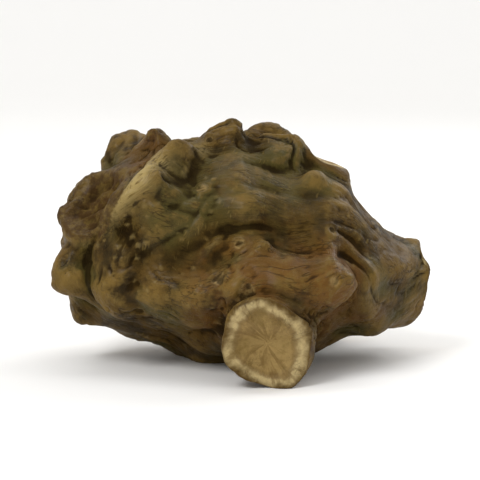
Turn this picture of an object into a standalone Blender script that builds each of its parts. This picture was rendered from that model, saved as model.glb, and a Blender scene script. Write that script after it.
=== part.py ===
"""A dried notoginseng root: one grown body with a knobbly crown, lying on a small flat spot.

The root lies along X with its crown to the left, the side towards the viewer at -Y and the surface at
Z = 0. It is made of strands: the stout body, two swellings on it, the collar that the stem was cut from,
each side root and each knob. A strand is a bent line with a radius at every place along it. The skin is
where the distance to the strands is zero, and the crease is rounded wherever two of them meet. Furrows,
rings and the dished cuts are then raised from that skin.
"""

import math
import random

import bmesh
import bpy
import numpy as np
from mathutils import Vector

MM = 0.001  # the shape is worked out in millimetres and handed to Blender in metres

# Driving dimensions, in millimetres. A path holds a strand's start, bend and end, and crease is how widely
# its joint is rounded. cut is how deep the cut end is dished. A strand without one ends round.
BODY = {
    "path": ((-10.5, 1.0, 12.6), (0.0, 0.5, 12.4), (13.0, 0.5, 9.6)),
    "radii": (8.2, 11.0, 11.8, 10.9, 8.1, 5.8),
}
SWELLINGS = {
    "shoulder": {
        "path": ((-9.0, -3.0, 15.0), (-7.0, -3.0, 16.0), (-4.0, -2.5, 16.0)),
        "radii": (6.4, 7.0, 6.6),
        "crease": 4.0,
    },
    "hip": {
        "path": ((3.0, -4.0, 10.8), (7.0, -4.0, 11.0), (10.0, -3.5, 10.5)),
        "radii": (7.0, 7.6, 6.4),
        "crease": 4.0,
    },
}
LIMBS = {
    "collar": {
        "path": ((-11.5, -0.5, 13.0), (-13.8, -2.6, 15.8), (-15.4, -4.8, 18.2)),
        "radii": (7.2, 5.4, 4.0),
        "crease": 2.6,
        "cut": 1.2,
    },
    "tail": {
        "path": ((8.0, 0.5, 10.0), (14.5, 1.5, 9.8), (19.5, 3.5, 8.4)),
        "radii": (7.0, 5.2, 4.2),
        "crease": 3.0,
        "cut": 0.35,
    },
    "front": {
        "path": ((-9.0, -6.0, 9.8), (0.5, -11.4, 10.0), (8.4, -11.2, 10.6)),
        "radii": (4.4, 4.8, 4.6, 3.6),
        "crease": 1.6,
    },
    "back": {
        "path": ((2.0, 5.0, 8.5), (7.5, 9.5, 5.9), (11.5, 12.0, 3.8)),
        "radii": (5.2, 4.4, 3.4),
        "crease": 3.0,
        "cut": 0.35,
    },
    "upper": {
        "path": ((5.0, 0.5, 17.0), (7.4, 0.6, 19.4), (9.6, 0.2, 22.0)),
        "radii": (4.6, 3.2, 2.5),
        "crease": 2.6,
        "cut": 0.3,
    },
    "nub": {
        "path": ((2.2, -6.6, 6.6), (2.8, -11.6, 5.5), (3.4, -17.4, 5.0)),
        "radii": (5.2, 4.8, 4.6),
        "crease": 1.6,
        "cut": 0.4,
    },
    "rootlet": {
        "path": ((-4.8, -2.6, 22.6), (-8.0, -8.7, 22.6), (-12.1, -8.4, 17.4)),
        "radii": (1.6, 1.1, 0.55),
        "crease": 0.8,
    },
}
# The root grew uneven: space is bent by height * sin(turn * place + start), in two sizes, before it is
# measured. order says which coordinate each one is bent by.
BENDS = (
    {"height": 0.45, "turn": 0.62, "order": (1, 2, 0), "start": (0.3, 1.9, 4.1)},
    {"height": 0.17, "turn": 1.37, "order": (2, 0, 1), "start": (2.2, 0.7, 5.0)},
)

CROWN_CENTRE = (-9.5, 0.6, 12.8)
CROWN_AXIS = (-0.60, -0.48, 0.64)  # the way the cut stem pointed
CROWN_KNOBS = 16
CROWN_KNOB_RADIUS = (1.7, 3.8)
CROWN_KNOB_LEAN = (44, 112)  # degrees from the crown's axis
FLANK_KNOBS = 12
FLANK_KNOB_RADIUS = (0.8, 1.9)
FLANK_PLACES = (0.25, 0.95)  # part of the body's length that carries the smaller knobs
FLANK_SLANT = 0.3
KNOB_SPACING = 0.86  # least distance between two knobs over the sum of their radii
KNOB_HEIGHT = (0.05, 0.5)  # how far the end of a knob's line lies out from the skin, over its radius
KNOB_LEAN = 0.28
KNOB_ROOT = 0.7
KNOB_TAPER = (1.0, 0.96, 0.72)
KNOB_CREASE = 1.3
KNOB_FLOOR = 4.0  # no knob grows lower than this
KNOB_SEED = 5
PLAIN_FRONT = (-16.5, -4.5, 22.0)  # right of, in front of and under this the skin has small knobs only
PLAIN_FRONT_RADIUS = 1.2

# The relief, each entry a height or a depth and the width or the spacing that goes with it. A spacing of
# three numbers is long along the strand and short across it.
SWELL = (0.8, 9.0)
LUMP = (0.3, 4.4)
RIB = (0.32, (15.0, 3.6, 3.6))
FURROW = (0.55, (17.0, 5.2, 5.2))
FURROW_WIDTH = 0.2  # a furrow follows the zero line of the noise, as wide as the noise stays under this
FURROW_PATCH = (0.6, 1.2, 7.0)  # mean and swing of the share of that depth, and the width of the patches
RING = (0.35, (2.1, 12.0, 12.0))  # rings round the crown
RING_WIDTH = 0.22
RING_FADE = (1.0, 8.0)  # the rings come in between these two places along the crown's axis
CALM_REACH = 1.4  # nearer the rootlet than this, the relief above fades to a share of its height
CALM_SHARE = 0.3
SCAR = (0.4, 1.3)  # roughness of the hollow that the stem was cut from
SCAR_REACH = 1.15
DISH_POWER = 0.7  # a cut end's dish: the lower, the flatter its middle
CUT_ROUGHNESS = (0.22, 2.1)
CUT_EDGE = 0.5  # rounding of a cut end's rim
SINK = 1.2  # how far the belly is pressed flat where the root rests

STRAND_STEPS = 14
KNOB_STEPS = 4
TUBE_SIDES = 20
CAP_RINGS = 5
FINE_VOXEL = 0.5  # the size of the faces that the relief is raised on
TRIANGLES = 11800  # left in the finished skin
FRAME_BLEND = 1.1  # how quickly the furrows turn from one strand's way to the next
THIN_BLEND = 0.4  # the same beside a thin strand, over its end's radius
FRAME_REACH = 12.0  # strands further off than this all count the same
RAY_STEPS = 30  # moves that find where a ray from inside meets the skin
SLOPE_STEP = 0.04  # distance over which the field's slope is measured
LEAST_STEEPNESS = 0.3  # keeps a move from growing without end where the field is nearly level
LONGEST_MOVE = 1.5
SKIN = (0.10, 0.068, 0.034, 1.0)
SKIN_ROUGHNESS = 0.55


def unit(vector):
    """The vector, or each row of an array, at a length of one."""
    vector = np.asarray(vector, float)
    return vector / np.linalg.norm(vector, axis=-1, keepdims=True)


def noise(points, seed):
    """Smooth random hills of about -1 to 1 on a lattice of one unit, each corner with its own slope."""
    cell = np.floor(points).astype(np.int64)
    inside = points - cell
    ease = inside**3 * (inside * (inside * 6 - 15) + 10)
    total = np.zeros(len(points))
    for corner in np.ndindex(2, 2, 2):
        key = (cell + corner) @ np.array([73856093, 19349663, 83492791]) + seed * 2654435761
        key = (key ^ (key >> 15)) * 2246822519 & 0x7FFFFFFF
        turn = (key % 1021) / 1021 * math.tau
        height = (key // 1021 % 1009) / 1009 * 2 - 1
        flat = np.sqrt(1 - height**2)
        slope = np.stack([flat * np.cos(turn), flat * np.sin(turn), height], axis=1)
        weight = np.prod(np.where(corner, ease, 1 - ease), axis=1)
        total += weight * (slope * (inside - corner)).sum(axis=1)
    return total * 1.6


def bent(points):
    """Where each point lies in the even space that the strands are laid out in."""
    return points + sum(b["height"] * np.sin(points[:, b["order"]] * b["turn"] + b["start"]) for b in BENDS)


def valley(value, width):
    """A groove of depth one along the line where a value is zero."""
    return np.exp(-((value / width) ** 2))


def rounded_union(a, b, crease):
    """The lower of two distances, with the crease between them rounded."""
    share = np.clip(0.5 + 0.5 * (b - a) / crease, 0, 1)
    return b + (a - b) * share - crease * share * (1 - share)


class Strand:
    """A bent line with a radius at each of its points."""

    def __init__(self, path, radii, crease=0.0, cut=0.0, steps=STRAND_STEPS):
        start, bend, end = (np.array(p, float) for p in path)
        t = np.linspace(0, 1, steps + 1)[:, None]
        self.line = start * (1 - t) ** 2 + bend * 2 * t * (1 - t) + end * t**2
        self.radii = np.interp(t[:, 0], np.linspace(0, 1, len(radii)), radii)
        self.crease = crease
        self.cut = cut
        self.way = unit(end - bend)
        self.middle = (start + end) / 2
        self.reach = (np.linalg.norm(self.line - self.middle, axis=1) + self.radii).max() + crease + 1.5

    def gap(self, points):
        """How far each point lies outside the strand, whose cut end is a rough plane."""
        gap = np.full(len(points), np.inf)
        for a, b, radius_a, radius_b in zip(self.line[:-1], self.line[1:], self.radii[:-1], self.radii[1:]):
            step = b - a
            s = np.clip((points - a) @ step / (step @ step), 0, 1)
            away = points - a - s[:, None] * step
            gap = np.minimum(gap, np.linalg.norm(away, axis=1) - radius_a - s * (radius_b - radius_a))
        if self.cut:
            height, grain = CUT_ROUGHNESS
            plane = (points - self.line[-1]) @ self.way + height * noise(points / grain, 9)
            gap = -rounded_union(-gap, -plane, CUT_EDGE)
        return gap

    def spread(self, points):
        """How far each point lies from the middle of the strand's end, over its radius there."""
        return np.linalg.norm(points - self.line[-1], axis=1) / self.radii[-1]

    def join(self, points, gap):
        """Adds this strand to the distances of the rest of the root."""
        near = ((points - self.middle) ** 2).sum(axis=1) < self.reach**2
        gap[near] = rounded_union(gap[near], self.gap(points[near]), self.crease)

    def turned(self, points):
        """The points, turned about the strand's start until X runs along it."""
        ahead = Vector((math.copysign(1, self.way[0]), 0, 0))
        turn = np.array(Vector(self.way).rotation_difference(ahead).to_matrix())
        return (points - self.line[0]) @ turn.T + self.line[0]

    def tube(self):
        """A closed tube about the strand: its points and its four-sided faces."""
        way = unit(np.gradient(self.line, axis=0))
        turn = np.linspace(0, math.pi / 2, CAP_RINGS)[:, None]
        head = self.line[0] - way[0] * self.radii[0] * np.cos(turn)
        foot = self.line[-1] + way[-1] * self.radii[-1] * np.cos(turn[::-1])
        spine = np.vstack([head, self.line[1:-1], foot])
        rising = np.sin(turn[:, 0])
        wide = np.concatenate([self.radii[0] * rising, self.radii[1:-1], self.radii[-1] * rising[::-1]])
        way = np.vstack([np.repeat(way[:1], CAP_RINGS, 0), way[1:-1], np.repeat(way[-1:], CAP_RINGS, 0)])
        flank = unit(np.cross(way, (0.31, 0.52, 0.79)))
        rise = np.cross(way, flank)
        around = np.linspace(0, math.tau, TUBE_SIDES, endpoint=False)[None, :, None]
        ring = flank[:, None] * np.cos(around) + rise[:, None] * np.sin(around)
        points = spine[:, None] + wide[:, None, None] * ring
        index = np.arange(len(spine) * TUBE_SIDES).reshape(-1, TUBE_SIDES)
        after = np.roll(index, -1, axis=1)
        faces = np.stack([index[:-1], index[1:], after[1:], after[:-1]], axis=2)
        return points.reshape(-1, 3), faces.reshape(-1, 4)


class Root:
    """Every strand of the root, and the distance to them all."""

    def __init__(self):
        self.body = Strand(**BODY)
        self.limbs = {name: Strand(**shape) for name, shape in LIMBS.items()}
        self.joined = [Strand(**shape) for shape in SWELLINGS.values()] + list(self.limbs.values())
        self.knobs = []
        self.grow_knobs()

    def strand_field(self, points):
        """How far each point lies outside the root, knobs apart."""
        gap = self.body.gap(points)
        for strand in self.joined:
            strand.join(points, gap)
        return gap

    def field(self, points):
        """How far each point lies outside the root."""
        points = bent(points)
        gap = self.strand_field(points)
        for knob in self.knobs:
            knob.join(points, gap)
        return gap

    def skin_point(self, start, direction):
        """Where a ray from inside leaves the root, in the strands' own space."""
        reach = 0.0
        for _ in range(RAY_STEPS):
            reach -= self.strand_field(bent((start + reach * direction)[None]))[0]
        return bent((start + reach * direction)[None])[0]

    def knob_at(self, start, direction, radius, draw):
        """A knob from under the skin out to a narrower tip, leaning off the straight way out."""
        foot = self.skin_point(start, direction)
        lean = unit(direction + KNOB_LEAN * np.array([draw.uniform(-1, 1) for _ in range(3)]))
        tip = foot + lean * radius * draw.uniform(*KNOB_HEIGHT)
        root = foot - direction * radius * KNOB_ROOT
        radii = [radius * share for share in KNOB_TAPER]
        return foot, Strand((root, foot, tip), radii, KNOB_CREASE, steps=KNOB_STEPS)

    def has_room(self, foot, radius, feet):
        """Whether a knob may grow there: off the ground, clear of the others and off the plain front."""
        x, y, z = foot
        right, front, top = PLAIN_FRONT
        apart = [np.linalg.norm(foot - other) / (radius + other_radius) for other, other_radius in feet]
        in_plain_front = x > right and y < front and z < top
        crowded = min(apart, default=math.inf) <= KNOB_SPACING
        return z > KNOB_FLOOR and not crowded and not (in_plain_front and radius > PLAIN_FRONT_RADIUS)

    def grow_knobs(self):
        """Blunt knobs round the stem scar, then smaller ones on the flanks."""
        draw = random.Random(KNOB_SEED)
        axis = unit(CROWN_AXIS)
        side = unit(np.cross(axis, (0, 0, 1)))
        up = np.cross(side, axis)
        feet = []
        while len(feet) < CROWN_KNOBS + FLANK_KNOBS:
            around = draw.uniform(0, math.tau)
            if len(feet) < CROWN_KNOBS:
                radius = draw.uniform(*CROWN_KNOB_RADIUS)
                lean = math.radians(draw.uniform(*CROWN_KNOB_LEAN))
                outward = side * math.cos(around) + up * math.sin(around)
                start = np.array(CROWN_CENTRE)
                direction = unit(axis * math.cos(lean) + outward * math.sin(lean))
            else:
                radius = draw.uniform(*FLANK_KNOB_RADIUS)
                start = self.body.line[int(len(self.body.line) * draw.uniform(*FLANK_PLACES))]
                slant = draw.uniform(-FLANK_SLANT, FLANK_SLANT)
                direction = unit((slant, math.cos(around), math.sin(around)))
            foot, knob = self.knob_at(start, direction, radius, draw)
            if self.has_room(foot, radius, feet):
                feet.append((foot, radius))
                self.knobs.append(knob)

    def outward_at(self, points):
        """The way out of the root at each point, and how far out it lies."""
        here = self.field(points)
        beside = [self.field(points + SLOPE_STEP * axis) for axis in np.eye(3)]
        slopes = (np.stack(beside, axis=1) - here[:, None]) / SLOPE_STEP
        steepness = np.maximum(np.linalg.norm(slopes, axis=1, keepdims=True), LEAST_STEEPNESS)
        return slopes / steepness, here[:, None] / steepness

    def settle(self, points, rounds):
        """Points moved onto the skin along the field's slope."""
        for _ in range(rounds):
            outward, gap = self.outward_at(points)
            points = points - outward * np.clip(gap, -LONGEST_MOVE, LONGEST_MOVE)
        return points

    def along_strands(self, points):
        """The points in the frames of the strands near them, so that a stretch along X follows these."""
        total = np.zeros_like(points)
        weights = np.zeros((len(points), 1))
        for strand in [self.body, *self.limbs.values()]:
            blend = min(FRAME_BLEND, THIN_BLEND * strand.radii[-1])
            weight = np.exp(-np.clip(strand.gap(points), 0, FRAME_REACH) / blend)[:, None]
            total += weight * strand.turned(points)
            weights += weight
        return total / weights

    def relief(self, points):
        """How far the skin stands out at each point."""
        along = self.along_strands(points)
        rise = SWELL[0] * noise(points / SWELL[1], 1) + LUMP[0] * noise(points / LUMP[1], 5)
        rise += RIB[0] * noise(along / RIB[1], 2)
        mean, swing, patch = FURROW_PATCH
        depth = FURROW[0] * np.clip(mean + swing * noise(points / patch + 3, 6), 0, 1)
        rise -= depth * valley(noise(along / FURROW[1] + 7, 3), FURROW_WIDTH)
        ahead = (points - CROWN_CENTRE) @ unit(CROWN_AXIS)
        rings = noise(np.column_stack([ahead, points[:, 1:]]) / RING[1], 4)
        fade = np.clip((ahead - RING_FADE[0]) / (RING_FADE[1] - RING_FADE[0]), 0, 1)
        rise -= RING[0] * fade * valley(rings, RING_WIDTH)
        rise *= np.clip(self.limbs["rootlet"].gap(points) / CALM_REACH, CALM_SHARE, 1)
        for strand in self.limbs.values():
            rise -= strand.cut * np.clip(1 - strand.spread(points) ** 2, 0, 1) ** DISH_POWER
        scar = np.clip(SCAR_REACH - self.limbs["collar"].spread(points), 0, 1)
        return rise + SCAR[0] * scar * noise(points / SCAR[1], 7)


def strand_mesh(root):
    """Every strand of the root as a closed tube, all in one mesh."""
    points = []
    faces = []
    count = 0
    for strand in [root.body, *root.joined, *root.knobs]:
        tube_points, tube_faces = strand.tube()
        points.append(tube_points)
        faces.append(tube_faces + count)
        count += len(tube_points)
    mesh = bpy.data.meshes.new("strands")
    mesh.from_pydata((np.vstack(points) * MM).tolist(), [], np.vstack(faces).tolist())
    work = bmesh.new()
    work.from_mesh(mesh)
    bmesh.ops.remove_doubles(work, verts=work.verts, dist=1e-6)
    bmesh.ops.recalc_face_normals(work, faces=work.faces)
    work.to_mesh(mesh)
    work.free()
    return mesh


def modified(mesh, kind, **settings):
    """The mesh as one modifier leaves it."""
    source = bpy.data.objects.new("working", mesh)
    bpy.context.scene.collection.objects.link(source)
    modifier = source.modifiers.new(kind.lower(), kind)
    for name, value in settings.items():
        setattr(modifier, name, value)
    graph = bpy.context.evaluated_depsgraph_get()
    skin = bpy.data.meshes.new_from_object(source.evaluated_get(graph))
    bpy.data.objects.remove(source)
    return skin


def fused(mesh, voxel):
    """The mesh as one closed skin of even faces."""
    return modified(mesh, "REMESH", mode="VOXEL", voxel_size=voxel * MM)


def thinned(mesh, triangles):
    """The mesh with its least needed edges collapsed until so many triangles are left."""
    count = sum(len(face.vertices) - 2 for face in mesh.polygons)
    return modified(mesh, "DECIMATE", ratio=triangles / count, use_collapse_triangulate=True)


def read_points(mesh):
    """A mesh's vertices in millimetres."""
    flat = np.empty(len(mesh.vertices) * 3)
    mesh.vertices.foreach_get("co", flat)
    return flat.reshape(-1, 3) / MM


def write_points(mesh, points):
    """Puts points in millimetres back into a mesh."""
    mesh.vertices.foreach_set("co", (points * MM).ravel())
    mesh.update()


def root_skin():
    """Dried skin of the root: grey-brown, a little waxy."""
    material = bpy.data.materials.new("dried_root_skin")
    material.use_nodes = True
    shader = material.node_tree.nodes["Principled BSDF"]
    shader.inputs["Base Color"].default_value = SKIN
    shader.inputs["Roughness"].default_value = SKIN_ROUGHNESS
    shader.inputs["Metallic"].default_value = 0.0
    return material


def build_root():
    """The whole root as one object, resting at the origin."""
    root = Root()
    skin = fused(strand_mesh(root), FINE_VOXEL)
    write_points(skin, root.settle(read_points(skin), 3))
    skin = fused(skin, FINE_VOXEL)
    points = root.settle(read_points(skin), 2)
    outward, _ = root.outward_at(points)
    write_points(skin, points + outward * root.relief(bent(points))[:, None])
    skin = thinned(fused(skin, FINE_VOXEL), TRIANGLES)
    points = read_points(skin)
    floor = points[:, 2].min() + SINK
    middle = (points.min(axis=0) + points.max(axis=0)) / 2
    points -= (middle[0], middle[1], floor)
    points[:, 2] = np.maximum(points[:, 2], 0)
    write_points(skin, points)
    skin.materials.clear()
    skin.materials.append(root_skin())
    skin.shade_smooth()
    return bpy.data.objects.new("notoginseng_root", skin)


def main():
    """Clears the scene and builds the root in a collection of its own."""
    for old in list(bpy.data.objects):
        bpy.data.objects.remove(old)
    collection = bpy.data.collections.new("notoginseng_root")
    bpy.context.scene.collection.children.link(collection)
    collection.objects.link(build_root())


main()
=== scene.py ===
import math
import random

import bmesh
import bpy
import numpy as np
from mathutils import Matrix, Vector


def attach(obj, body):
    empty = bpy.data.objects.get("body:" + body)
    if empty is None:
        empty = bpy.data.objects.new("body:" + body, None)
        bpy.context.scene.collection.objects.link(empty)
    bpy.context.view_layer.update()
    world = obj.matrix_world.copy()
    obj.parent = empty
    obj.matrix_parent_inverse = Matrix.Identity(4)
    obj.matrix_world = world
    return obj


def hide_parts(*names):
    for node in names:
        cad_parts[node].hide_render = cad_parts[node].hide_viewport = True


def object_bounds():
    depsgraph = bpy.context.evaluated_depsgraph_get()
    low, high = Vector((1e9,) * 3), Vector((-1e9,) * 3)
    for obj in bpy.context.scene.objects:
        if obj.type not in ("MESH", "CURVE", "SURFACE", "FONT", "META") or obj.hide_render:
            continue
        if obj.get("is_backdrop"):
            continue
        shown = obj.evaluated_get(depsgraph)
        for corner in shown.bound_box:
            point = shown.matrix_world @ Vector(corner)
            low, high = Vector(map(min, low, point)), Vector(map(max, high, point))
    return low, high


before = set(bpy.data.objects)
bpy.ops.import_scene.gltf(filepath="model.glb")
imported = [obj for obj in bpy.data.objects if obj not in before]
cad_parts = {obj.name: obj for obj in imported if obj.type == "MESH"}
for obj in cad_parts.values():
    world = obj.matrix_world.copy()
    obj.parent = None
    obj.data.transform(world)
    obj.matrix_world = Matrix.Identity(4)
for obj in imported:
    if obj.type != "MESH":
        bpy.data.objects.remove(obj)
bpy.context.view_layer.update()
mm = 0.001  # the root's form is worked out in millimetres

# A strand is a bent line, from its start by its bend to its end, with radii spaced evenly along it.
# crease is how widely its joint is rounded, and cut how deep its end is dished. With no cut it ends round.
form = {
    "body": {
        "path": ((-10.5, 1.0, 12.6), (0.0, 0.5, 12.4), (13.0, 0.5, 9.6)),
        "radii": (8.2, 11.0, 11.8, 10.9, 8.1, 5.8),
    },
    "shoulder": {
        "path": ((-9.0, -3.0, 15.0), (-7.0, -3.0, 16.0), (-4.0, -2.5, 16.0)),
        "radii": (6.4, 7.0, 6.6), "crease": 4.0,
    },
    "hip": {
        "path": ((3.0, -4.0, 10.8), (7.0, -4.0, 11.0), (10.0, -3.5, 10.5)),
        "radii": (7.0, 7.6, 6.4), "crease": 4.0,
    },
    "collar": {
        "path": ((-11.5, -0.5, 13.0), (-13.8, -2.6, 15.8), (-15.4, -4.8, 18.2)),
        "radii": (7.2, 5.4, 4.0), "crease": 2.6, "cut": 1.2,
    },
    "tail": {
        "path": ((8.0, 0.5, 10.0), (14.5, 1.5, 9.8), (19.5, 3.5, 8.4)),
        "radii": (7.0, 5.2, 4.2), "crease": 3.0, "cut": 0.35,
    },
    "front": {
        "path": ((-9.0, -6.0, 9.8), (0.5, -11.4, 10.0), (8.4, -11.2, 10.6)),
        "radii": (4.4, 4.8, 4.6, 3.6), "crease": 1.6,
    },
    "back": {
        "path": ((2.0, 5.0, 8.5), (7.5, 9.5, 5.9), (11.5, 12.0, 3.8)),
        "radii": (5.2, 4.4, 3.4), "crease": 3.0, "cut": 0.35,
    },
    "upper": {
        "path": ((5.0, 0.5, 17.0), (7.4, 0.6, 19.4), (9.6, 0.2, 22.0)),
        "radii": (4.6, 3.2, 2.5), "crease": 2.6, "cut": 0.3,
    },
    "nub": {
        "path": ((2.2, -6.6, 6.6), (2.8, -11.6, 5.5), (3.4, -17.4, 5.0)),
        "radii": (5.2, 4.8, 4.6), "crease": 1.6, "cut": 0.4,
    },
    "rootlet": {
        "path": ((-4.8, -2.6, 22.6), (-8.0, -8.7, 22.6), (-12.1, -8.4, 17.4)),
        "radii": (1.6, 1.1, 0.55), "crease": 0.8,
    },
}
swellings = ("shoulder", "hip")  # bulges of the body, with no fibres of their own
strandShape = {"steps": 14, "margin": 1.5}  # the steps of a line, and spare reach round it
# A cut end is a rough plane with a rounded edge.
cutRough = {"height": 0.22, "grain": 2.1, "seed": 9, "edge": 0.3}
# The root grew uneven: space is bent by height * sin(turn * place + start), in two sizes.
warp = (
    {"height": 0.45, "turn": 0.62, "order": (1, 2, 0), "start": (0.3, 1.9, 4.1)},
    {"height": 0.17, "turn": 1.37, "order": (2, 0, 1), "start": (2.2, 0.7, 5.0)},
)
# What the noise is drawn with: large primes scatter a lattice's cells, and small ones give the draws.
lattice = {
    "primes": (73856093, 19349663, 83492791), "seedPrime": 2654435761, "mixPrime": 2246822519, "fold": 15,
    "mask": 0x7FFFFFFF, "place": (1021, 1009, 997), "size": (263,), "share": (97,), "gain": 1.6,
}


# A vector, or each row of an array, over its length.
def unit(vector):
    vector = np.asarray(vector, float)
    return vector / np.linalg.norm(vector, axis=-1, keepdims=True)


# A whole number for each cell of a unit lattice, the same one each run: the cell's three numbers times
# primes, with the high bits folded onto the low ones.
def cellKey(cell, seed):
    key = cell @ np.array(lattice["primes"]) + seed * lattice["seedPrime"]
    return (key ^ (key >> lattice["fold"])) * lattice["mixPrime"] & lattice["mask"]


# Numbers from 0 to 1 out of each key, one for each prime: the remainder over the prime. The key is
# divided by the prime before the next.
def drawnFrom(key, primes):
    draws = []
    for prime in primes:
        draws.append(key % prime / prime)
        key = key // prime
    return draws


# Gradient noise, about -1 to 1: at each corner of a unit lattice a drawn slope times the way from the
# corner, eased together by 6 t^5 - 15 t^4 + 10 t^3.
def noise(points, seed):
    cell = np.floor(points).astype(np.int64)
    inside = points - cell
    ease = inside**3 * (inside * (inside * 6 - 15) + 10)
    total = np.zeros(len(points))
    for corner in np.ndindex(2, 2, 2):
        around, upward = drawnFrom(cellKey(cell + corner, seed), lattice["place"][:2])
        turn = around * math.tau
        height = upward * 2 - 1
        flat = np.sqrt(1 - height**2)
        slope = np.stack([flat * np.cos(turn), flat * np.sin(turn), height], axis=1)
        weight = np.prod(np.where(corner, ease, 1 - ease), axis=1)
        total += weight * (slope * (inside - corner)).sum(axis=1)
    return total * lattice["gain"]


# The line's points are start (1 - t)^2 + 2 bend t (1 - t) + end t^2, all within reach of the middle.
def bentStrand(path, radii, crease=0.0, cut=None, steps=strandShape["steps"]):
    start, bend, end = (np.array(p, float) for p in path)
    t = np.linspace(0, 1, steps + 1)[:, None]
    line = start * (1 - t) ** 2 + bend * 2 * t * (1 - t) + end * t**2
    radii = np.interp(t[:, 0], np.linspace(0, 1, len(radii)), radii)
    middle = (start + end) / 2
    reach = (np.linalg.norm(line - middle, axis=1) + radii).max() + crease + strandShape["margin"]
    return {
        "line": line, "radii": radii, "crease": crease, "cut": cut, "middle": middle, "reach": reach,
        "way": unit(end - bend),
    }


strands = {name: bentStrand(**shape) for name, shape in form.items()}
print("strands", len(strands))


# The lower of two distances, less a rounding that is largest where they are equal.
def roundedUnion(a, b, crease):
    share = np.clip(0.5 + 0.5 * (b - a) / crease, 0, 1)
    return b + (a - b) * share - crease * share * (1 - share)


# Distance to a strand's skin: for each step a to b, |p - a - s(b - a)| less the radius at s, and the
# least of them. A cut end keeps only what lies behind its rough plane.
def strandGap(points, strand):
    gap = np.full(len(points), np.inf)
    line, radii = strand["line"], strand["radii"]
    for a, b, radiusA, radiusB in zip(line[:-1], line[1:], radii[:-1], radii[1:]):
        step = b - a
        s = np.clip((points - a) @ step / (step @ step), 0, 1)
        away = points - a - s[:, None] * step
        gap = np.minimum(gap, np.sqrt((away**2).sum(axis=1)) - radiusA - s * (radiusB - radiusA))
    if strand["cut"] is not None:
        rough = cutRough["height"] * noise(points / cutRough["grain"], cutRough["seed"])
        plane = (points - line[-1]) @ strand["way"] + rough
        gap = -roundedUnion(-gap, -plane, cutRough["edge"])
    return gap


# The rounded union of a distance with some strands, each worked out only within its reach.
def join(points, gap, parts):
    for part in parts:
        near = ((points - part["middle"]) ** 2).sum(axis=1) < part["reach"] ** 2
        gap[near] = roundedUnion(gap[near], strandGap(points[near], part), part["crease"])
    return gap


# Where each point lies in the even space of the strands: its place plus the sines of the warp.
def warped(points):
    return points + sum(w["height"] * np.sin(points[:, w["order"]] * w["turn"] + w["start"]) for w in warp)


# Distance to the root without its knobs: the body's, joined with that of every other strand.
def strandField(points):
    return join(points, strandGap(points, strands["body"]), list(strands.values())[1:])


# Where a ray from inside leaves the strands, by stepping on by the distance left each time.
def skinPoint(start, direction, rounds=30):
    reach = 0.0
    for _ in range(rounds):
        reach -= strandField(warped((start + reach * direction)[None]))[0]
    return warped((start + reach * direction)[None])[0]


# The crown's axis is the way that the cut stem pointed.
crown = {"centre": (-9.5, 0.6, 12.8), "axis": (-0.60, -0.48, 0.64)}
# Blunt knobs ring the crown and smaller ones sit on the flanks. crownLean is in degrees from the crown's
# axis, place a share of the body's line, and rise, sunk and taper are shares of a knob's radius. Right
# of, before and under plainFront no knob is larger than plainRadius.
knobs = {
    "seed": 5, "crownCount": 16, "crownRadius": (1.7, 3.8), "crownLean": (44, 112),
    "flankCount": 12, "flankRadius": (0.8, 1.9), "place": (0.25, 0.95), "slant": (-0.3, 0.3),
    "lean": 0.28, "rise": (0.05, 0.5), "sunk": 0.7, "taper": (1.0, 0.96, 0.72), "crease": 1.3, "steps": 4,
    "spacing": 0.86, "lowest": 4.0, "plainFront": (-16.5, -4.5, 22.0), "plainRadius": 1.2,
}


# A knob's line runs from a heel under the skin, by its foot on it, to foot + lean * radius * rise.
def knobAt(start, direction, radius, draw):
    foot = skinPoint(start, direction)
    lean = unit(direction + knobs["lean"] * np.array([draw.uniform(-1, 1) for _ in range(3)]))
    tip = foot + lean * radius * draw.uniform(*knobs["rise"])
    heel = foot - direction * radius * knobs["sunk"]
    radii = [radius * share for share in knobs["taper"]]
    made = bentStrand((heel, foot, tip), radii, knobs["crease"], steps=knobs["steps"])
    return {**made, "foot": foot, "radius": radius}


# A knob has room off the ground, where its distance to each other one over the sum of their radii is
# above the spacing, and where it isn't too large for the plain front.
def hasRoom(knob, placed):
    apart = [np.linalg.norm(knob["foot"] - k["foot"]) / (knob["radius"] + k["radius"]) for k in placed]
    x, y, z = knob["foot"]
    right, before, under = knobs["plainFront"]
    tooLarge = x > right and y < before and z < under and knob["radius"] > knobs["plainRadius"]
    return z > knobs["lowest"] and min(apart, default=math.inf) > knobs["spacing"] and not tooLarge


# Knobs by a seeded draw. A ray to one on the crown is axis cos(lean) + outward sin(lean), and a ray to
# one on the flanks goes straight out from the body's line, with a slant.
def drawKnobs():
    draw = random.Random(knobs["seed"])
    axis = unit(crown["axis"])
    side = unit(np.cross(axis, (0, 0, 1)))
    up = np.cross(side, axis)
    body = strands["body"]["line"]
    placed = []
    for kind in ("crown", "flank"):
        wanted = len(placed) + knobs[kind + "Count"]
        while len(placed) < wanted:
            around = draw.uniform(0, math.tau)
            radius = draw.uniform(*knobs[kind + "Radius"])
            if kind == "crown":
                lean = math.radians(draw.uniform(*knobs["crownLean"]))
                outward = side * math.cos(around) + up * math.sin(around)
                start = np.array(crown["centre"])
                direction = unit(axis * math.cos(lean) + outward * math.sin(lean))
            else:
                start = body[int(len(body) * draw.uniform(*knobs["place"]))]
                direction = unit((draw.uniform(*knobs["slant"]), math.cos(around), math.sin(around)))
            made = knobAt(start, direction, radius, draw)
            if hasRoom(made, placed):
                placed.append(made)
    return placed


knobStrands = drawKnobs()
print("knobs", len(knobStrands))


# Distance to the whole root: that of the strands, joined with every knob's.
def field(points):
    points = warped(points)
    return join(points, strandField(points), knobStrands)


# How points are brought to the skin: the step that the field's slope is measured over, the least slope
# that counts, and the longest move.
settling = {"step": 0.04, "leastSlope": 0.3, "longestMove": 1.5}


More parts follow.
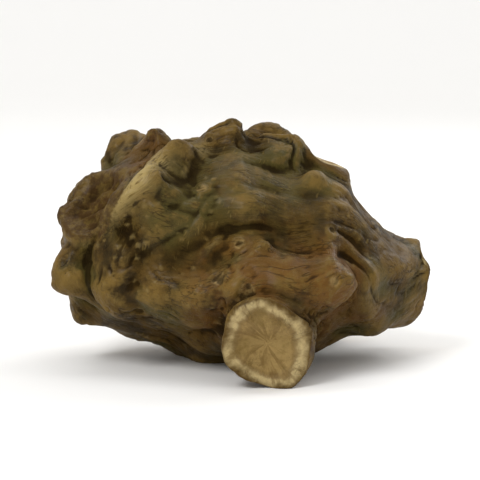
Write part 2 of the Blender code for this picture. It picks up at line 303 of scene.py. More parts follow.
# The way out at each point, from forward differences of the field, and how far out the point lies.
def outwardAt(points):
    step = settling["step"]
    here = field(points)
    slopes = np.stack([(field(points + step * axis) - here) / step for axis in np.eye(3)], axis=1)
    steepness = np.maximum(np.linalg.norm(slopes, axis=1, keepdims=True), settling["leastSlope"])
    return slopes / steepness, here[:, None] / steepness


# Points moved onto the skin: each round takes off the way out times the distance left.
def settle(points, rounds):
    for _ in range(rounds):
        outward, gap = outwardAt(points)
        points = points - outward * np.clip(gap, -settling["longestMove"], settling["longestMove"])
    return points


# How near a strand its fibres hold. thinReach is over the radius of a thin strand's end.
fibres = {"reach": 1.1, "thinReach": 0.4, "farthest": 12}


# Each strand's frame is the shared one turned about its start until X runs along it. The frames are
# blended by nearness, exp(-gap / reach), so that what is stretched along X follows every strand.
def alongStrands(points):
    total = np.zeros_like(points)
    weights = np.zeros((len(points), 1))
    for name, strand in strands.items():
        if name in swellings:
            continue
        reach = min(fibres["reach"], fibres["thinReach"] * strand["radii"][-1])
        ahead = Vector((math.copysign(1, strand["way"][0]), 0, 0))
        turn = np.array(Vector(strand["way"]).rotation_difference(ahead).to_matrix())
        start = strand["line"][0]
        weight = np.exp(-np.clip(strandGap(points, strand), 0, fibres["farthest"]) / reach)[:, None]
        total += weight * ((points - start) @ turn.T + start)
        weights += weight
    return total / weights


# Hills: height * noise(points / size + shift). Where the size has three numbers, the first is along X.
def hills(points, size, seed, height=1.0, shift=0.0):
    return height * noise(points / size + shift, seed)


# Grooves along the lines where such noise is zero: depth * exp(-(noise / width)^2).
def grooves(points, depth, width, **pattern):
    return depth * np.exp(-((hills(points, **pattern) / width) ** 2))


# Patches: mean + swing * noise, kept between low and high.
def patches(points, mean, swing, low=0.0, high=1.0, **pattern):
    return np.clip(mean + swing * hills(points, **pattern), low, high)


# Points moved by three noises of a place: reach * noise(place / size), one for each axis.
def swayed(points, place, reach, size, seed):
    return points + reach * np.stack([noise(place / size, seed + axis) for axis in range(3)], axis=1)


# How far each point lies from the middle of a strand's end, over the radius there.
def endSpread(points, strand):
    return np.linalg.norm(points - strand["line"][-1], axis=1) / strand["radii"][-1]


# The relief that the solid has too. The rings come in between ringStart and ringStart + ringFade along
# the crown's axis. Nearer the rootlet than calmReach, all of it fades to calmShare of its height.
relief = {
    "swell": {"height": 0.8, "size": 9.0, "seed": 1},
    "lump": {"height": 0.3, "size": 4.4, "seed": 5},
    "rib": {"height": 0.32, "size": (15, 3.6, 3.6), "seed": 2},
    "furrow": {"depth": 0.55, "width": 0.2, "size": (17, 5.2, 5.2), "seed": 3, "shift": 7},
    "furrowPatch": {"mean": 0.6, "swing": 1.2, "size": 7.0, "seed": 6, "shift": 3},
    "ring": {"depth": 0.35, "width": 0.22, "size": (2.1, 12, 12), "seed": 4},
    "ringStart": 1.0, "ringFade": 7.0,
    "calmReach": 1.4, "calmShare": 0.3,
    "scar": {"height": 0.4, "size": 1.3, "seed": 7}, "scarReach": 1.15,
    "dishPower": 0.7,
}


# Broad relief: swellings, lumps and ribs, less furrows along the strands and rings by the crown. A cut
# end is dished by cut * (1 - spread^2) ^ dishPower, and the stem's scar is rough.
def broadRelief(points, along):
    rise = hills(points, **relief["swell"]) + hills(points, **relief["lump"])
    rise += hills(along, **relief["rib"])
    rise -= patches(points, **relief["furrowPatch"]) * grooves(along, **relief["furrow"])
    ahead = (points - crown["centre"]) @ unit(crown["axis"])
    ringShare = np.clip((ahead - relief["ringStart"]) / relief["ringFade"], 0, 1)
    rise -= ringShare * grooves(np.column_stack([ahead, points[:, 1:]]), **relief["ring"])
    rise *= np.clip(strandGap(points, strands["rootlet"]) / relief["calmReach"], relief["calmShare"], 1)
    for strand in strands.values():
        if strand["cut"]:
            inside = np.clip(1 - endSpread(points, strand) ** 2, 0, 1)
            rise -= strand["cut"] * inside ** relief["dishPower"]
    onScar = np.clip(relief["scarReach"] - endSpread(points, strands["collar"]), 0, 1)
    return rise + onScar * hills(points, **relief["scar"])


# Warts stand in patches, and most of them round one place on the left of the front.
warts = {
    "spacing": 1.0, "radius": (0.2, 0.46), "share": 0.7, "height": 0.16, "seed": 41,
    "sway": {"reach": 0.16, "size": 1 / 2.3, "seed": 42},
    "mean": 0.1, "patch": {"size": 5.0, "seed": 33},
    "most": (-9.5, -11.0, 12.5), "mostReach": 6.5, "mostMore": 0.9,
}


# Round warts, (1 - d^2 / r^2) high: one in each cell of a unit lattice, with a drawn place and radius r.
def wartHeight(points):
    points = swayed(points, points, **warts["sway"])
    cell = np.floor(points).astype(np.int64)
    smallest, largest = warts["radius"]
    tall = np.zeros(len(points))
    for corner in np.ndindex(3, 3, 3):
        near = cell + corner - 1
        key = cellKey(near, warts["seed"])
        place = near + np.stack(drawnFrom(key, lattice["place"]), axis=1)
        radius = smallest + (largest - smallest) * drawnFrom(key, lattice["size"])[0]
        grown = drawnFrom(key, lattice["share"])[0] < warts["share"]
        away = ((points - place) ** 2).sum(axis=1)
        tall = np.maximum(tall, np.clip(1 - away / radius**2, 0, 1) * grown)
    return tall


# How warty each place is: the mean, plus noise, plus a hill exp(-d^2) about the place with most.
def wartPatch(points):
    away = np.linalg.norm(points - warts["most"], axis=1) / warts["mostReach"]
    most = warts["mostMore"] * np.exp(-(away**2))
    return np.clip(warts["mean"] + hills(points, **warts["patch"]) + most, 0, 1)


# Round scars where thin rootlets broke off. Their pale middle fades out at toneReach over the radius.
scars = {
    "seed": 8, "count": 26, "radius": (0.6, 1.15), "place": (0.1, 0.95), "slant": (-0.5, 0.5), "rounds": 4,
    "rim": 0.14, "width": 0.3, "dish": 0.16, "toneReach": 1.25,
    "uneven": {"height": 0.2, "size": 1.1, "seed": 34},
}


# The scars' places and radii by a seeded draw: straight out from the body's line, with a slant.
def drawScars():
    draw = random.Random(scars["seed"])
    body = strands["body"]["line"]
    feet = []
    for _ in range(scars["count"]):
        around = draw.uniform(0, math.tau)
        start = body[int(len(body) * draw.uniform(*scars["place"]))]
        way = unit((draw.uniform(*scars["slant"]), math.cos(around), math.sin(around)))
        feet.append(skinPoint(start, way))
    return settle(np.array(feet), scars["rounds"]), [draw.uniform(*scars["radius"]) for _ in feet]


# A scar's rim is a hill exp(-((d - r) / w)^2) round it and its middle a dish 1 - (d / r)^2. The second
# result is how much each point lies in such a dish.
def scarRelief(points):
    rise = np.zeros(len(points))
    dish = np.zeros(len(points))
    uneven = 1 + hills(points, **scars["uneven"])
    for place, radius in zip(*drawScars()):
        away = np.linalg.norm(points - place, axis=1) * uneven
        rise += scars["rim"] * np.exp(-(((away - radius) / scars["width"]) ** 2))
        rise -= scars["dish"] * np.clip(1 - (away / radius) ** 2, 0, 1)
        dish = np.maximum(dish, np.clip(scars["toneReach"] - away / radius, 0, 1))
    return rise, dish


# The relief that only the picture has: wrinkles along the strands in two sizes, which come and go in
# patches and are broken short, creases across them, pebbles and grain.
wrinkles = {
    "sway": {"reach": 0.7, "size": 3.1, "seed": 21},
    "patch": {"mean": 0.65, "swing": 0.8, "low": 0.15, "high": 1.3, "size": 6.0, "seed": 24},
    "broken": {"mean": 0.75, "swing": 1.5, "high": 1.15, "size": 2.3, "seed": 32},
    "long": {"depth": 0.15, "width": 0.17, "size": (6.5, 1.5, 1.5), "seed": 25},
    "thin": {"depth": 0.08, "width": 0.2, "size": (4.0, 0.8, 0.8), "seed": 26},
    "acrossPatch": {"mean": 0.3, "swing": 1.0, "size": 5.0, "seed": 27},
    "across": {"depth": 0.06, "width": 0.16, "size": (0.9, 4.5, 4.5), "seed": 28},
    "pebblePatch": {"mean": 0.4, "swing": 1.0, "size": 4.0, "seed": 30},
    "pebble": {"height": 0.05, "size": 0.95, "seed": 31},
    "grain": {"height": 0.03, "size": 0.7, "seed": 29},
}


# Fine relief: patches times grooves for wrinkles and creases, patches times hills for pebbles, and grain.
def fineRelief(points, along):
    line = swayed(along, points, **wrinkles["sway"])
    strength = patches(points, **wrinkles["patch"]) * patches(points, **wrinkles["broken"])
    rise = -strength * (grooves(line, **wrinkles["long"]) + grooves(line, **wrinkles["thin"]))
    rise -= patches(points, **wrinkles["acrossPatch"]) * grooves(line, **wrinkles["across"])
    rise += patches(points, **wrinkles["pebblePatch"]) * hills(points, **wrinkles["pebble"])
    return rise + hills(points, **wrinkles["grain"])


# The skin's mesh. Voxels are the sizes of its faces, first rough and then fine, and rounds how often it
# is brought to the strands' skin after each. The belly is pressed flat to a height of sink. A point
# further than spike from the mean of its neighbours is evened out.
skin = {
    "sides": 24, "capRings": 6, "askew": (0.31, 0.52, 0.79),  # a way that no strand runs
    "merge": 0.001, "roughVoxel": 0.5, "roughRounds": 3, "voxel": 0.24, "rounds": 2,
    "sink": 1.2, "spike": 0.13, "spikeRounds": 6,
}


# Two ways across a strand, at right angles: way x askew, and way x that.
def acrossWays(way):
    flank = unit(np.cross(way, skin["askew"]))
    return flank, np.cross(way, flank)


# A mesh's points in millimetres, a row for each.
def readPoints(mesh):
    flat = np.empty(len(mesh.vertices) * 3)
    mesh.vertices.foreach_get("co", flat)
    return flat.reshape(-1, 3) / mm


# The same, written back in metres.
def writePoints(mesh, points):
    mesh.vertices.foreach_set("co", (points * mm).ravel())
    mesh.update()


# A closed tube about a strand: each ring's points are centre + radius (flank cos(turn) + rise sin(turn)),
# and the rings of its caps are radius sin(turn) wide, radius cos(turn) on from the line's end.
def tube(strand):
    line, radii = strand["line"], strand["radii"]
    sides, capRings = skin["sides"], skin["capRings"]
    way = unit(np.gradient(line, axis=0))
    turn = np.linspace(0, math.pi / 2, capRings)[:, None]
    head = line[0] - way[0] * radii[0] * np.cos(turn)
    foot = line[-1] + way[-1] * radii[-1] * np.cos(turn[::-1])
    spine = np.vstack([head, line[1:-1], foot])
    wide = np.concatenate([radii[0] * np.sin(turn[:, 0]), radii[1:-1], radii[-1] * np.sin(turn[::-1, 0])])
    way = np.vstack([np.repeat(way[:1], capRings, 0), way[1:-1], np.repeat(way[-1:], capRings, 0)])
    flank, rise = acrossWays(way)
    around = np.linspace(0, math.tau, sides, endpoint=False)[None, :, None]
    circle = flank[:, None] * np.cos(around) + rise[:, None] * np.sin(around)
    rings = spine[:, None] + wide[:, None, None] * circle
    index = np.arange(len(spine) * sides).reshape(-1, sides)
    after = np.roll(index, -1, 1)
    quads = np.stack([index[:-1], index[1:], after[1:], after[:-1]], axis=2)
    return rings.reshape(-1, 3), quads.reshape(-1, 4)


# One mesh of all the tubes, with the doubled points at their tips merged and every face turned outwards.
def strandMesh():
    points, faces, count = [], [], 0
    for strand in [*strands.values(), *knobStrands]:
        tubePoints, tubeFaces = tube(strand)
        points.append(tubePoints)
        faces.append(tubeFaces + count)
        count += len(tubePoints)
    mesh = bpy.data.meshes.new("strands")
    mesh.from_pydata(np.vstack(points) * mm, [], np.vstack(faces).tolist())
    work = bmesh.new()
    work.from_mesh(mesh)
    bmesh.ops.remove_doubles(work, verts=work.verts, dist=skin["merge"] * mm)
    bmesh.ops.recalc_face_normals(work, faces=work.faces)
    work.to_mesh(mesh)
    work.free()
    return mesh


# An object of a mesh, light or camera, put into the scene.
def addObject(name, data):
    made = bpy.data.objects.new(name, data)
    bpy.context.scene.collection.objects.link(made)
    return made


# The outer skin of a mesh as one closed surface, with faces as large as a voxel.
def fused(mesh, voxel):
    source = addObject("fusing", mesh)
    remesh = source.modifiers.new("oneSkin", "REMESH")
    remesh.mode = "VOXEL"
    remesh.voxel_size = voxel * mm
    graph = bpy.context.evaluated_depsgraph_get()
    made = bpy.data.meshes.new_from_object(source.evaluated_get(graph))
    bpy.data.objects.remove(source)
    return made


# Each point moved to the mean of its neighbours along the mesh's edges, a number of times.
def evened(points, edges, rounds):
    count = np.bincount(edges.ravel(), minlength=len(points))[:, None]
    for _ in range(rounds):
        total = np.zeros_like(points)
        for axis in range(3):
            total[:, axis] += np.bincount(edges[:, 0], points[edges[:, 1], axis], len(points))
            total[:, axis] += np.bincount(edges[:, 1], points[edges[:, 0], axis], len(points))
        points = total / count
    return points


# A point that stands off the mean of its neighbours by more than a spike's height is brought to it.
def withoutSpikes(points, edges):
    for _ in range(skin["spikeRounds"]):
        mean = evened(points, edges, 1)
        off = np.linalg.norm(mean - points, axis=1)
        points = np.where((off > skin["spike"])[:, None], mean, points)
    return points


# The cut wood's tone starts that far behind a cut's plane, fades in, and ends at edge over the end's
# radius. The rays of the wood are drawn rayTurn round the middle and raySpread outwards.
cutTone = {"start": 0.45, "fade": 0.3, "edge": 1.3, "rayTurn": 3.2, "raySpread": 1.4, "middle": 0.01}


# On each cut end: how much a point is on the cut, how far it is from the middle over the end's radius,
# and a place whose first two numbers turn with it about the middle, for the rays of the wood. The stem
# scar has its own tone.
def cutTones(points):
    onCut, onScar = np.zeros(len(points)), np.zeros(len(points))
    spread = np.ones(len(points))
    rays = np.zeros_like(points)
    rough = cutRough["height"] * noise(points / cutRough["grain"], cutRough["seed"])
    for name, strand in strands.items():
        if strand["cut"]:
            way, radius = strand["way"], strand["radii"][-1]
            offset = points - strand["line"][-1]
            flat = offset - (offset @ way)[:, None] * way
            away = np.linalg.norm(flat, axis=1)
            behind = np.clip((offset @ way + rough + cutTone["start"]) / cutTone["fade"], 0, 1)
            here = behind * (away < radius * cutTone["edge"])
            nearer = here > np.maximum(onCut, onScar)
            spread[nearer] = away[nearer] / radius
            flank, rise = acrossWays(way)
            around = np.stack([flat @ flank, flat @ rise], axis=1)
            around = around / np.maximum(away, cutTone["middle"])[:, None]
            outwards = away / radius * cutTone["raySpread"]
            rays[nearer] = np.column_stack([around * cutTone["rayTurn"], outwards])[nearer]
            if name == "collar":
                onScar = here
            else:
                onCut = np.maximum(onCut, here)
    return {"onCut": onCut, "onScar": onScar, "spread": spread}, rays


# Tones of the bark. A groove or hollow is read over some rounds of evening, and is full at its depth; the
# material darkens grooves and hollows with them as painted shade. The ridge and the rootlet fade out over
# reach from their strands, and the ridge comes in from start on.
barkTone = {
    "groove": {"rounds": 8, "depth": 0.1}, "hollow": {"rounds": 160, "depth": 0.8}, "farthest": 9.0,
    "ridge": {"reach": 1.2, "start": -7.0, "fade": 4.0}, "rootlet": {"reach": 0.42},
    "mossy": {"centre": (-2.0, -9.0, 19.0), "size": (8.5, 6.0, 4.5)},  # the green middle of the upper body
}


# How deep each point lies under the mean of its surroundings, over the depth at which the tone is full.
def sunkenTone(name, points, outward, edges):
    tone = barkTone[name]
    return ((evened(points, edges, tone["rounds"]) - points) * outward).sum(axis=1) / tone["depth"]


# How near each point is to a strand: exp(-gap / reach).
def nearTone(points, strand, tone):
    gap = np.clip(strandGap(points, strands[strand]), 0, barkTone["farthest"])
    return np.exp(-gap / barkTone[tone]["reach"])


# Tones that follow a place: near the front side root, exp(-d^2) about the mossy centre, and near the
# rootlet.
def placeTones(points, grown):
    ridge, mossy = barkTone["ridge"], barkTone["mossy"]
    begun = np.clip((points[:, 0] - ridge["start"]) / ridge["fade"], 0, 1)
    return {
        "ridge": nearTone(grown, "front", "ridge") * begun,
        "mossy": np.exp(-(((points - mossy["centre"]) / mossy["size"]) ** 2).sum(axis=1)),
        "rootlet": nearTone(grown, "rootlet", "rootlet"),
    }


# A mesh's edges, a row of two point numbers for each.
def readEdges(mesh):
    edges = np.empty(len(mesh.edges) * 2, dtype=np.int32)
    mesh.edges.foreach_get("vertices", edges)
    return edges.reshape(-1, 2)


# Values kept on a mesh's points as attributes, which the material reads.
def keepOnPoints(mesh, kind, entry, values):
    for name, value in values.items():
        made = mesh.attributes.new(name, kind, "POINT")
        made.data.foreach_set(entry, value.astype(np.float32).ravel())


# The skin is settled onto the strands and raised along the way out by its relief, the fine part not on
# the cuts. What lies under the floor is then brought up to it, and the middle is moved over the origin.
def buildSkin():
    mesh = fused(strandMesh(), skin["roughVoxel"])
    writePoints(mesh, settle(readPoints(mesh), skin["roughRounds"]))
    mesh = fused(mesh, skin["voxel"])
    settled = settle(readPoints(mesh), skin["rounds"])
    print("settled points", len(settled))
    outward, _ = outwardAt(settled)
    grown = warped(settled)
    along = alongStrands(grown)
    broad = settled + outward * broadRelief(grown, along)[:, None]
    wart = wartHeight(settled / warts["spacing"]) * wartPatch(settled)
    scarRise, scarDish = scarRelief(settled)
    fine = fineRelief(grown, along) + warts["height"] * wart + scarRise
    edges = readEdges(mesh)
    cuts, rays = cutTones(grown)
    points = withoutSpikes(broad + outward * (fine * (1 - cuts["onCut"]))[:, None], edges)
    print("relief raised")
    tones = {**placeTones(settled, grown), **cuts, "wart": wart, "scarDish": scarDish}
    for name in ("groove", "hollow"):
        tones[name] = sunkenTone(name, points, outward, edges)
    keepOnPoints(mesh, "FLOAT", "value", tones)
    keepOnPoints(mesh, "FLOAT_VECTOR", "vector", {"along": along, "rays": rays})
    print("tones", len(tones))

    floorLevel = broad[:, 2].min() + skin["sink"]
    middle = (broad.min(axis=0) + broad.max(axis=0)) / 2
    points = points - (middle[0], middle[1], floorLevel)
    points[:, 2] = np.maximum(points[:, 2], 0)
    writePoints(mesh, points)
    mesh.shade_smooth()
    return mesh, list(tones)


# An sRGB hex value as linear light: c / 12.92 where it is darkest, else ((c + 0.055) / 1.055)^2.4.
def linear(hexColour):
    channels = [int(hexColour[i:i + 2], 16) / 255 for i in (1, 3, 5)]
    return (*[c / 12.92 if c <= 0.04045 else ((c + 0.055) / 1.055) ** 2.4 for c in channels], 1)


# Adds a node, with settings on the node and inputs by name or place, each a value or a socket to link.
def addNode(tree, kind, settings=None, **inputs):
    node = tree.nodes.new(kind)
    for name, value in (settings or {}).items():
        setattr(node, name, value)
    for name, value in inputs.items():
        socket = node.inputs[int(name[1:])] if name[1:].isdigit() else node.inputs[name.replace("_", " ")]
        if isinstance(value, bpy.types.NodeSocket):
            tree.links.new(value, socket)
        else:
            socket.default_value = value
    return node.outputs


# Bark of a dried notoginseng root: grey-brown and olive, red-brown in places, rubbed
# golden on its knobs, with a low waxy sheen, and with painted shade darkening its wrinkles, grooves and
# hollows. The cut ends show pale starchy wood with a darker ring.
bark = {
    # A layer is a colour, its strength, and masks that are multiplied with it. A mask is a tone by its name,
    # or noise of a size in millimetres, which runs along the strands where it has a width too. low and high
    # are the values at which it starts and is full. Marks show both in the colour and in the grain.
    "colours": {
        "dark": "#2d220f", "middle": "#55401c", "olive": "#4c4522", "red": "#5c3a18", "ridge": "#67441b",
        # crease is the dark of painted shade, laid into wrinkles, grooves, hollows and the stem scar's
        # grooves.
        "rubbed": "#7d622f", "dust": "#6c572c", "crease": "#1b1207", "lenticel": "#776335",
        "wartTip": "#87754a", "rootlet": "#a9945f", "wood": "#bda878", "woodCore": "#998050",
        "woodRing": "#6d5530", "scar": "#432f18", "glint": "#e3bd7c",
    },
    "marks": {
        "dash": (
            {"size": 0.4, "width": 1.3, "detail": 1, "low": 0.62, "high": 0.70},
            {"size": 4, "detail": 1, "low": 0.45, "high": 0.6},
        ),
        "wrinkle": (
            {"size": 5, "width": 0.8, "detail": 2, "low": 0.46, "high": 0.5},
            {"size": 5, "width": 0.8, "detail": 2, "low": 0.54, "high": 0.5},
            {"size": 3, "detail": 2, "low": 0.44, "high": 0.64},
        ),
    },
    "layers": (
        ("middle", 1.0, {"size": 3.2, "detail": 5, "low": 0.36, "high": 0.62}),
        ("olive", 0.8, {"size": 9, "detail": 2, "low": 0.44, "high": 0.62}),
        ("red", 0.7, {"size": 13, "detail": 2, "low": 0.52, "high": 0.68}),
        ("rubbed", 0.8, {"tone": "hollow", "low": -0.1, "high": -0.8},
         {"size": 2.2, "detail": 4, "low": 0.34, "high": 0.62}),
        ("olive", 0.75, {"tone": "mossy"}, {"size": 1.8, "detail": 4, "low": 0.3, "high": 0.6}),
        ("ridge", 0.7, {"tone": "ridge"}, {"size": 4, "detail": 3, "low": 0.3, "high": 0.6}),
        ("dust", 0.75, {"tone": "groove", "low": 0.1, "high": -0.7},
         {"size": 1.1, "detail": 4, "low": 0.35, "high": 0.7}),
        ("dark", 0.35, {"size": 4, "width": 0.45, "detail": 4, "low": 0.55, "high": 0.72}),
        ("rootlet", 0.92, {"tone": "rootlet"},
         {"size": 2.6, "width": 0.35, "detail": 3, "low": 0.3, "high": 0.47},
         {"size": 1.6, "detail": 4, "low": 0.2, "high": 0.42}),
        ("lenticel", 0.4, {"tone": "dash"}),
        # Painted shade: the wrinkle lines are darkened to the crease colour.
        ("crease", 0.5, {"tone": "wrinkle"}),
        ("wartTip", 0.42, {"tone": "wart", "low": 0.05, "high": 0.9}),
        ("woodCore", 0.75, {"tone": "scarDish", "low": 0.3, "high": 0.75},
         {"size": 0.7, "detail": 3, "low": 0.3, "high": 0.6}),
        # Painted shade: fine grooves and broad hollows are darkened to the crease colour, the hollows in
        # patches.
        ("crease", 0.75, {"tone": "groove", "low": 0.2, "high": 1.1}),
        ("crease", 0.75, {"tone": "hollow", "low": 0.1, "high": 0.9},
         {"size": 1.4, "detail": 4, "low": 0.3, "high": 0.7}),
    ),
    "cuts": (("onCut", 1.0, "wood"), ("onScar", 0.85, "scar")),
    "edgeWander": 0.36, "edgeNoise": {"size": 1.5, "detail": 3},  # how much the rings of the wood wander
    "rayDetail": 4, "rayRoughness": 0.65,
    "wood": (
        ("woodCore", 1.0, {"tone": "edge", "low": 0.9, "high": 0.78}),
        ("woodRing", 0.6, {"tone": "edge", "low": 0.72, "high": 0.84},
         {"tone": "edge", "low": 0.96, "high": 0.86}),
        ("woodRing", 0.6, {"tone": "ray", "low": 0.48, "high": 0.62}),
        ("woodRing", 0.6, {"size": 0.8, "detail": 4, "low": 0.5, "high": 0.75}),
        ("dust", 0.6, {"size": 2.4, "detail": 4, "low": 0.48, "high": 0.68}),
        ("middle", 1.0, {"tone": "edge", "low": 0.98, "high": 1.2}),
    ),
    "scar": (
        ("dust", 0.8, {"size": 0.9, "detail": 4, "low": 0.4, "high": 0.65}),
        # Painted shade: the grooves of the stem scar are darkened to the crease colour.
        ("crease", 0.8, {"tone": "groove", "low": 0.2, "high": 3.2}),
    ),
    # The sheen is uneven by a noise, duller in the grooves, and under a thin coat outside the hollows.
    "roughness": (0.44, 0.7), "roughNoise": {"size": 1.6, "detail": 4}, "roughRange": (0.35, 0.65),
    "dull": (0.3, {"tone": "groove", "low": 0.1, "high": 0.8}),
    "coat": (0.12, {"tone": "hollow", "low": 0.25, "high": -0.1}), "coatRoughness": 0.30, "specular": 0.12,
    # The grain's height is the sum of each weight times its mask, over grainHeight in millimetres.
    "grain": (
        (1.6, {"size": 3.5, "width": 0.35, "detail": 4}),
        (1.0, {"size": 0.3, "detail": 4, "roughness": 0.65}),
        (0.5, {"tone": "dash"}),
        (-0.8, {"tone": "wrinkle"}),
    ),
    "grainStrength": 0.8, "grainHeight": 0.14, "noiseRoughness": 0.6,
}


# The bark's colour is laid on layer by layer, with the wood and the stem scar over it where the mesh is
# cut. Its grain is the sum of weight * mask.
def barkMaterial(toneNames):
    material = bpy.data.materials.new("driedRootBark")
    material.use_nodes = True
    tree = material.node_tree
    shader = tree.nodes["Principled BSDF"]
    place = addNode(tree, "ShaderNodeTexCoord")["Object"]
    along = addNode(tree, "ShaderNodeAttribute", {"attribute_name": "along"})["Vector"]
    rays = addNode(tree, "ShaderNodeAttribute", {"attribute_name": "rays"})["Vector"]
    multiply = {"operation": "MULTIPLY"}
    multiplyAdd = {"operation": "MULTIPLY_ADD"}
    tones = {}
    for name in toneNames:
        tones[name] = addNode(tree, "ShaderNodeAttribute", {"attribute_name": name})["Fac"]

    # A mask's value: its tone, or noise of its size, eased from low to high.
    def valueOf(mask):
        if "tone" in mask:
            value = tones[mask["tone"]]
        else:
            vector = place
            scale = 1 / (mask["size"] * mm)
            if "width" in mask:
                stretch = (1 / mask["size"], 1 / mask["width"], 1 / mask["width"])
                vector = addNode(tree, "ShaderNodeMapping", Vector=along, Scale=stretch)["Vector"]
                scale = 1.0
            value = addNode(tree, "ShaderNodeTexNoise", Vector=vector, Scale=scale, Detail=mask["detail"],
                            Roughness=mask.get("roughness", bark["noiseRoughness"]))["Fac"]
        if "low" in mask:
            value = addNode(tree, "ShaderNodeMapRange", {"interpolation_type": "SMOOTHSTEP"}, Value=value,
                            From_Min=mask["low"], From_Max=mask["high"])["Result"]
        return value

    # A strength times every mask.
    def product(strength, *masks):
        share = strength
        for mask in masks:
            share = addNode(tree, "ShaderNodeMath", multiply, _0=share, _1=valueOf(mask))[0]
        return share

    # A colour with layers over it, each mixed in by its share.
    def layered(base, layers):
        colour = linear(bark["colours"][base])
        for name, strength, *masks in layers:
            share = product(strength, *masks)
            colour = addNode(tree, "ShaderNodeMix", {"data_type": "RGBA"}, _0=share, _6=colour,
                             _7=linear(bark["colours"][name]))[2]
        return colour

    # How far out each place is on a cut end, wandering a little, and the rays of its wood.
    tones["edge"] = addNode(tree, "ShaderNodeMath", multiplyAdd, _0=valueOf(bark["edgeNoise"]),
                            _1=bark["edgeWander"], _2=tones["spread"])[0]
    tones["ray"] = addNode(tree, "ShaderNodeTexNoise", Vector=rays, Scale=1.0, Detail=bark["rayDetail"],
                           Roughness=bark["rayRoughness"])["Fac"]
    for name, masks in bark["marks"].items():
        tones[name] = product(1.0, *masks)
    colour = layered("dark", bark["layers"])
    for tone, strength, name in bark["cuts"]:
        share = product(strength, {"tone": tone})
        colour = addNode(tree, "ShaderNodeMix", {"data_type": "RGBA"}, _0=share, _6=colour,
                         _7=layered(name, bark[name]))[2]
    tree.links.new(colour, shader.inputs["Base Color"])

    roughness = addNode(tree, "ShaderNodeMapRange", Value=valueOf(bark["roughNoise"]),
                        From_Min=bark["roughRange"][0], From_Max=bark["roughRange"][1],
                        To_Min=bark["roughness"][0], To_Max=bark["roughness"][1])["Result"]
    roughness = addNode(tree, "ShaderNodeMath", {"operation": "ADD"}, _0=roughness,
                        _1=product(*bark["dull"]))[0]
    tree.links.new(roughness, shader.inputs["Roughness"])
    tree.links.new(product(*bark["coat"]), shader.inputs["Coat Weight"])
    shader.inputs["Coat Roughness"].default_value = bark["coatRoughness"]
    shader.inputs["Specular IOR Level"].default_value = bark["specular"]
    shader.inputs["Specular Tint"].default_value = linear(bark["colours"]["glint"])
    height = 0.0
    for weight, mask in bark["grain"]:
        height = addNode(tree, "ShaderNodeMath", multiplyAdd, _0=valueOf(mask), _1=weight, _2=height)[0]
    bump = addNode(tree, "ShaderNodeBump", Strength=bark["grainStrength"],
                   Distance=bark["grainHeight"] * mm, Height=height)["Normal"]
    tree.links.new(bump, shader.inputs["Normal"])
    return material


rootMesh, toneNames = buildSkin()
print("triangles", sum(len(p.vertices) - 2 for p in rootMesh.polygons))
root = addObject("rootSkin", rootMesh)
rootMesh.materials.clear()
rootMesh.materials.append(barkMaterial(toneNames))
print("bark", len(rootMesh.materials[0].node_tree.nodes), "nodes")
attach(root, "root")
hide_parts("notoginseng_root")

# The floor runs level and then curves up behind, so that no edge shows. The camera looks as the
# photograph's does, and fill is the root's share of the picture's width. Lengths here are in metres.
studio = {
    "floor": "#f4f3f1", "floorRoughness": 0.85, "before": 1.5, "reach": 0.6, "bend": 0.35,
    "bendPoints": 17, "height": 1.6, "wide": 2.4, "sky": (1, 1, 1, 1), "world": 0.62,
    "elevation": 7.0, "lens": 135, "fill": 0.8,
}
# Softboxes by place, size and power. One with no target faces the root.
lamps = {
    "key": {"place": (-0.26, -0.30, 0.42), "size": (0.20, 0.20), "power": 1.45},
    "rim": {"place": (0.22, 0.20, 0.20), "size": (0.20, 0.12), "power": 0.4},
    "wall": {"place": (0.0, 0.35, 1.3), "size": (1.6, 0.5), "power": 6.5, "target": (0, 0.95, 0.25)},
}
low, high = (np.array(c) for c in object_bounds())
centre = Vector((low + high) / 2)


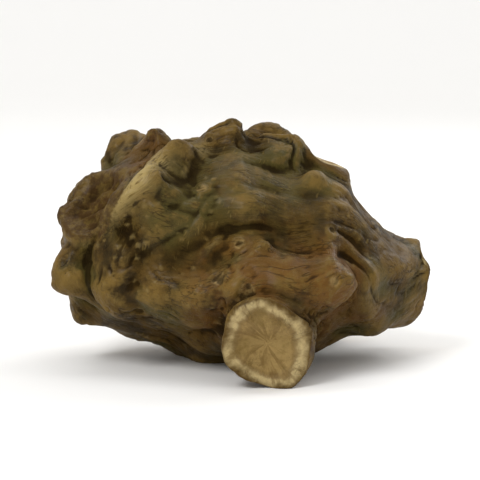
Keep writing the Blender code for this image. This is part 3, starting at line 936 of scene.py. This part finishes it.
# The sweep: level to reach, then y = reach + bend sin(t), z = bend (1 - cos(t)), then straight up.
def sweepMesh():
    t = np.linspace(0, math.pi / 2, studio["bendPoints"])
    back = studio["reach"] + studio["bend"]
    y = np.concatenate([[-studio["before"]], studio["reach"] + studio["bend"] * np.sin(t), [back]])
    z = np.concatenate([[0], studio["bend"] * (1 - np.cos(t)), [studio["height"]]])
    left = np.stack([np.full_like(y, -studio["wide"]), y, z], axis=1)
    right = left * (-1, 1, 1)
    count = len(y)
    steps = np.arange(count - 1)
    faces = np.stack([steps, steps + count, steps + count + 1, steps + 1], axis=1)
    mesh = bpy.data.meshes.new("sweep")
    mesh.from_pydata(np.vstack([left, right]).tolist(), [], faces.tolist())
    mesh.shade_smooth()
    return mesh


# Matt pale paper: an even tone with no shine.
def paleMaterial():
    material = bpy.data.materials.new("palePaper")
    material.use_nodes = True
    shader = material.node_tree.nodes["Principled BSDF"]
    shader.inputs["Base Color"].default_value = linear(studio["floor"])
    shader.inputs["Roughness"].default_value = studio["floorRoughness"]
    return material


# Turns a lamp or a camera until it looks from its place at the target.
def aimAt(thing, target):
    thing.rotation_euler = (Vector(target) - thing.location).to_track_quat("-Z", "Y").to_euler()


# A rectangular area light, turned to its target.
def softbox(name, place, size, power, target=centre):
    light = bpy.data.lights.new(name, "AREA")
    light.shape = "RECTANGLE"
    light.size, light.size_y = size
    light.energy = power
    lamp = addObject(name, light)
    lamp.location = place
    aimAt(lamp, target)


floor = addObject("floor", sweepMesh())
floor.data.materials.append(paleMaterial())
floor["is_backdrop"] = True
world = bpy.data.worlds.new("studio")
bpy.context.scene.world = world
world.use_nodes = True
world.node_tree.nodes["Background"].inputs["Color"].default_value = studio["sky"]
world.node_tree.nodes["Background"].inputs["Strength"].default_value = studio["world"]
for name, lamp in lamps.items():
    softbox(name, **lamp)
print("stage and lamps", len(lamps))

camera = addObject("camera", bpy.data.cameras.new("camera"))
bpy.context.scene.camera = camera
camera.data.lens = studio["lens"]
distance = (high[0] - low[0]) / studio["fill"] * camera.data.lens / camera.data.sensor_width
tilt = math.radians(studio["elevation"])
camera.location = centre + Vector((0, -math.cos(tilt), math.sin(tilt))) * distance
aimAt(camera, centre)
bpy.context.scene.view_settings.view_transform = "Standard"
print("camera", round(distance, 3), "m away")
